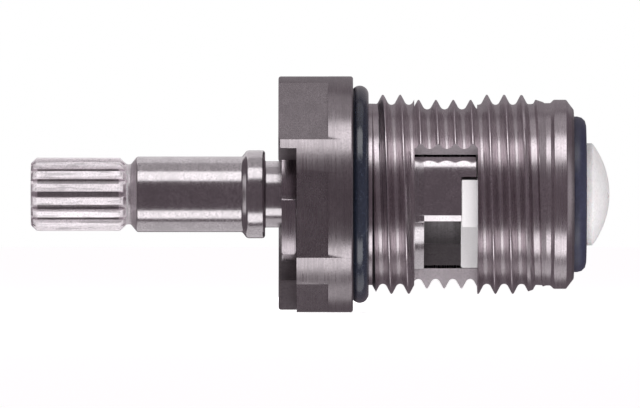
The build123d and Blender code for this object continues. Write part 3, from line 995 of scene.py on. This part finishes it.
class STEM_OT_stop_clip(bpy.types.Operator):
    """Horseshoe clip whose tab runs in the collar's recess"""

    bl_idname = "faucet_stem.stop_clip"
    bl_label = "Stop clip"

    def execute(self, context):
        edge = context.scene.stem_sizes.edge_rounding / MM
        start, end = CLIP_START - 1, CLIP_END + 1
        inside_neck = STEM_NECK_RADIUS - 0.3
        bm = turned([(CLIP_START, inside_neck, 0), (CLIP_START, TAB_RADIUS, 0),
                     (CLIP_END, TAB_RADIUS, 0), (CLIP_END, inside_neck, 0)])
        around = wedge(start, end, CLIP_RADIUS, FAR, TAB_CENTRE + 180, 360 - TAB_ANGLE)
        throat = block(start, end, TAB_CENTRE + 180, 0, FAR, CLIP_THROAT)
        hole = plug(start, end, STEM_NECK_RADIUS + CLIP_FIT)
        for side in (90, -90):
            hole = cut_away(hole, [block(
                start - 1, end + 1, TAB_CENTRE + side, CLIP_FLATS / 2 + CLIP_FIT, *FLAT_CUTTER)])
        bm = cut_away(bm, [around, throat, hole])
        soften(bm, 0.4, where=at_tab_corner, segments=3)
        soften(bm, edge * 1.3)
        metal = plated_metal("clip_metal_finish", context.scene.stem_colours.clip, 0.27)
        add_piece("horseshoe_clip", bm, [metal], "spindle", "clip_metal", "stop_clip")
        return {"FINISHED"}


class STEM_OT_rings(bpy.types.Operator):
    """Sealing rings of the collar and the stem, and the inlet seal"""

    bl_idname = "faucet_stem.rings"
    bl_label = "Rings and inlet seal"

    def execute(self, context):
        colours = context.scene.stem_colours
        ring_rubber = rubber("ring_rubber", colours.ring_rubber, 0.18, coat=0.6)
        place, centre_radius = COLLAR_RING_CENTRE
        ring = bmesh.new()
        bmesh.ops.create_circle(ring, segments=40, radius=COLLAR_RING_SECTION / 2)
        turn(ring, Matrix.Rotation(radians(90), 3, "X"))
        move(ring, (place, 0, centre_radius))
        spin_round(ring)
        add_piece("collar_ring", face_outward(ring), [ring_rubber], "housing", "dark_rubber",
                  "collar_o_ring")
        paint_nodes(("upper_stem_o_ring", "lower_stem_o_ring"), ring_rubber)

        seal = turned([
            (FIXED_DISC_END, SEAL_POCKET_RADIUS, 0),
            (FIXED_DISC_END, SEAL_RADIUS, 0.1),
            (SEAL_END, SEAL_RADIUS, 0.95),
            (SEAL_END, SEAL_BORE, 0.3),
            (LIP_START, SEAL_BORE, 0),
            (LIP_START, SEAL_POCKET_RADIUS, 0),
        ])
        seal_rubber = rubber("seal_rubber_finish", colours.seal_rubber, 0.4)
        add_piece("lipped_seal", seal, [seal_rubber], "housing", "seal_rubber", "inlet_seal")
        return {"FINISHED"}


class STEM_OT_discs(bpy.types.Operator):
    """Moving and fixed ceramic discs"""

    bl_idname = "faucet_stem.discs"
    bl_label = "Ceramic discs"

    def execute(self, context):
        material = ceramic("ceramic", context.scene.stem_colours.ceramic)
        start, end = SKIRT_END - 1, MOVING_DISC_END + 1
        notch_inside = LUG_INNER_RADIUS - LUG_GAP
        notch_angle = LUG_ANGLE + degrees(2 * LUG_GAP / notch_inside)
        cutters = []
        for half_turn in opposite(0):
            cutters += [
                wedge(start, end, DISC_HUB_RADIUS, FAR, PASSAGE_CENTRE + half_turn,
                      MOVING_DISC_CUT_ANGLE),
                wedge(start, LUG_END + LUG_GAP, notch_inside, FAR, LEG_CENTRE + half_turn,
                      notch_angle)]
        moving = cut_away(plug(SKIRT_END, MOVING_DISC_END, MOVING_DISC_RADIUS, 0.2), cutters)
        soften(moving, DISC_EDGE_ROUNDING)
        add_piece("butterfly_disc", moving, [material], "spindle", "white_ceramic", "moving_disc")

        start, end = FIXED_DISC_START - 1, FIXED_DISC_END + 1
        half_ear = degrees(atan2(EAR_WIDTH / 2, EAR_RADIUS))
        cutters = []
        for half_turn in opposite(0):
            cutters += [
                wedge(start, end, DISC_HUB_RADIUS, PORT_RADIUS, BODY_ANGLE + half_turn, PORT_ANGLE,
                      rounding=0.5),
                wedge(start, end, FIXED_DISC_RADIUS, FAR, KEY_CENTRE + 90 + half_turn,
                      180 - 2 * half_ear)]
        fixed = cut_away(plug(FIXED_DISC_START, FIXED_DISC_END, EAR_RADIUS), cutters)
        soften(fixed, DISC_EDGE_ROUNDING)
        add_piece("ported_disc", fixed, [material], "housing", "white_ceramic", "fixed_disc")
        return {"FINISHED"}


class STEM_OT_strainer(bpy.types.Operator):
    """Domed inlet strainer, and the plastic washer and ring inside"""

    bl_idname = "faucet_stem.strainer"
    bl_label = "Strainer and plastic rings"

    def execute(self, context):
        colours = context.scene.stem_colours
        height = STRAINER_DOME_HEIGHT
        dome_radius = (STRAINER_RADIUS ** 2 + height ** 2) / (2 * height)
        dome_centre = STRAINER_SHOULDER + height - dome_radius
        inner_radius = STRAINER_RADIUS - STRAINER_WALL

        def dome(sphere, reach, shares):
            """Corners on a sphere, at shares of a distance from the axis."""
            return [(dome_centre + (sphere ** 2 - (reach * share) ** 2) ** 0.5, reach * share, 0)
                    for share in shares]

        outer_dome = dome(dome_radius, STRAINER_RADIUS,
                          (0, 0.12, 0.25, 0.38, 0.5, 0.62, 0.73, 0.83, 0.92))
        inner_dome = dome(dome_radius - STRAINER_WALL, inner_radius,
                          (1, 0.83, 0.66, 0.5, 0.33, 0.16, 0))
        cup = turned([
            *outer_dome,
            (STRAINER_SHOULDER, STRAINER_RADIUS, 0.12),
            (STRAINER_FLANGE_END, STRAINER_RADIUS, 0),
            (STRAINER_FLANGE_END, STRAINER_FLANGE_RADIUS, 0),
            (FIXED_DISC_END, STRAINER_FLANGE_RADIUS, 0),
            (FIXED_DISC_END, inner_radius, 0),
            *inner_dome])
        holes = []
        for ring_radius, count in STRAINER_HOLES.items():
            for hole in range(count):
                drill = plug(STRAINER_SHOULDER - 1, STRAINER_SHOULDER + 3, STRAINER_HOLE_RADIUS,
                             steps=24)
                move(drill, direction(hole * 360 / count) * ring_radius)
                holes.append(drill)
        plastic = moulded_plastic("strainer_plastic_finish", colours.strainer)
        add_piece("domed_strainer", cut_away(cup, holes), [plastic], "housing", "strainer_plastic",
                  "inlet_strainer")
        inner_plastic = moulded_plastic("inner_plastic", colours.plastic)
        paint_nodes(("friction_washer", "seal_support_ring"), inner_plastic)
        return {"FINISHED"}


def add_camera(scene, stage):
    """Camera that looks straight at the part's front."""
    data = bpy.data.cameras.new("camera")
    data.sensor_width = 36.0
    data.lens = data.sensor_width * stage.camera_distance / stage.view_width
    data.clip_start = 0.01
    data.clip_end = 20.0
    camera = add_object("camera", data)
    camera.location = Vector(stage.view_centre) + Vector((0, -stage.camera_distance, 0))
    camera.rotation_euler = (pi / 2, 0, 0)
    scene.camera = camera


def add_surroundings(scene, stage):
    """Dim room that lights and mirrors, and a white backdrop that only the camera sees."""
    world = bpy.data.worlds.new("surroundings")
    world.use_nodes = True
    scene.world = world
    tree = world.node_tree
    room = tree.nodes["Background"]
    room.inputs["Color"].default_value = (*stage.surroundings, 1.0)
    backdrop = add_node(tree, "ShaderNodeBackground", {"Color": (1, 1, 1, 1)})
    rays = add_node(tree, "ShaderNodeLightPath")
    mix = add_node(tree, "ShaderNodeMixShader", {
        0: rays.outputs["Is Camera Ray"], 1: room.outputs[0], 2: backdrop.outputs[0]})
    tree.links.new(mix.outputs[0], tree.nodes["World Output"].inputs["Surface"])


def add_floor(stage):
    """White floor under the part, which glows a little and casts nothing on it."""
    bm = bmesh.new()
    bmesh.ops.create_grid(bm, x_segments=1, y_segments=1, size=3.0)
    move(bm, (0, 0, CAD_BOX[0][2]))
    floor = add_object("floor", as_mesh("floor", bm))
    material, tree, shader, place = new_material("floor_paint")
    grain = speckle(tree, place, 0.3, 0.3, 0.7)
    tint = blend(tree, grain, (*stage.floor, 1.0), shade(stage.floor, 0.99))
    tree.links.new(tint, shader.inputs["Base Color"])
    shader.inputs["Roughness"].default_value = 0.9
    shader.inputs["Specular IOR Level"].default_value = 0.0
    shader.inputs["Emission Color"].default_value = (1, 1, 1, 1)
    shader.inputs["Emission Strength"].default_value = 0.72
    floor.data.materials.append(material)
    floor.visible_glossy = False
    floor.visible_diffuse = False
    floor.visible_shadow = False


def area_light(name, place, turned_by, size, brightness):
    """Soft light that the camera doesn't see, as bright whatever its size."""
    data = bpy.data.lights.new(name, "AREA")
    data.shape = "RECTANGLE"
    data.size, data.size_y = size
    data.energy = brightness * pi * data.size * data.size_y
    light = add_object(name, data)
    light.location = place
    light.rotation_euler = turned_by
    light.visible_camera = False
    return light


def add_sky(stage):
    """Very soft light from above, which the metal doesn't mirror."""
    data = bpy.data.lights.new("sky", "SUN")
    data.energy = stage.sky_light
    data.angle = 1.4
    add_object("sky", data).visible_glossy = False


class STEM_OT_stage(bpy.types.Operator):
    """Pale floor, soft studio lights, surroundings and the camera"""

    bl_idname = "faucet_stem.stage"
    bl_label = "Stage"

    def execute(self, context):
        scene = context.scene
        stage = scene.stem_stage
        scene.view_settings.view_transform = "Standard"
        add_camera(scene, stage)
        add_surroundings(scene, stage)
        add_floor(stage)
        for name, angle, width, brightness, body in LONG_LIGHTS:
            wide = 2 * LONG_LIGHT_DISTANCE * tan(radians(width / 2))
            light = area_light(
                name, direction(angle) * LONG_LIGHT_DISTANCE, (radians(90 - angle), 0, 0),
                (LONG_LIGHT_LENGTH, wide), brightness * stage.mirror_light)
            if body is not None:
                light.light_linking.receiver_collection = pieces_of(body)
        for name, place, size, brightness, mirrored in PANELS:
            facing = Vector(place).to_track_quat("Z", "Y").to_euler()
            brightness *= stage.mirror_light if mirrored else stage.fill_light
            light = area_light(name, place, facing, size, brightness)
            light.visible_glossy = mirrored
        add_sky(stage)
        return {"FINISHED"}


class STEM_PT_panel(bpy.types.Panel):
    """Lists the pieces and the stage."""

    bl_idname = "STEM_PT_panel"
    bl_label = "Faucet stem"
    bl_space_type = "VIEW_3D"
    bl_region_type = "UI"
    bl_category = "Faucet stem"

    def draw(self, context):
        layout = self.layout
        for operator in OPERATORS:
            layout.operator(operator.bl_idname)
        scene = context.scene
        for settings in (scene.stem_sizes, scene.stem_colours, scene.stem_stage):
            box = layout.box()
            for name in settings.__annotations__:
                box.prop(settings, name)


OPERATORS = (STEM_OT_valve_body, STEM_OT_stem, STEM_OT_stop_clip, STEM_OT_rings, STEM_OT_discs,
             STEM_OT_strainer, STEM_OT_stage)
CLASSES = (StemSizes, StemColours, StageSettings, *OPERATORS, STEM_PT_panel)


def register():
    for cls in CLASSES:
        bpy.utils.register_class(cls)
    bpy.types.Scene.stem_sizes = PointerProperty(type=StemSizes)
    bpy.types.Scene.stem_colours = PointerProperty(type=StemColours)
    bpy.types.Scene.stem_stage = PointerProperty(type=StageSettings)


def unregister():
    del bpy.types.Scene.stem_stage
    del bpy.types.Scene.stem_colours
    del bpy.types.Scene.stem_sizes
    for cls in reversed(CLASSES):
        bpy.utils.unregister_class(cls)


def main():
    register()
    bpy.ops.faucet_stem.stage()
    bpy.ops.faucet_stem.valve_body()
    bpy.ops.faucet_stem.stem()
    bpy.ops.faucet_stem.stop_clip()
    bpy.ops.faucet_stem.rings()
    bpy.ops.faucet_stem.discs()
    bpy.ops.faucet_stem.strainer()


if __name__ == "__main__":
    main()
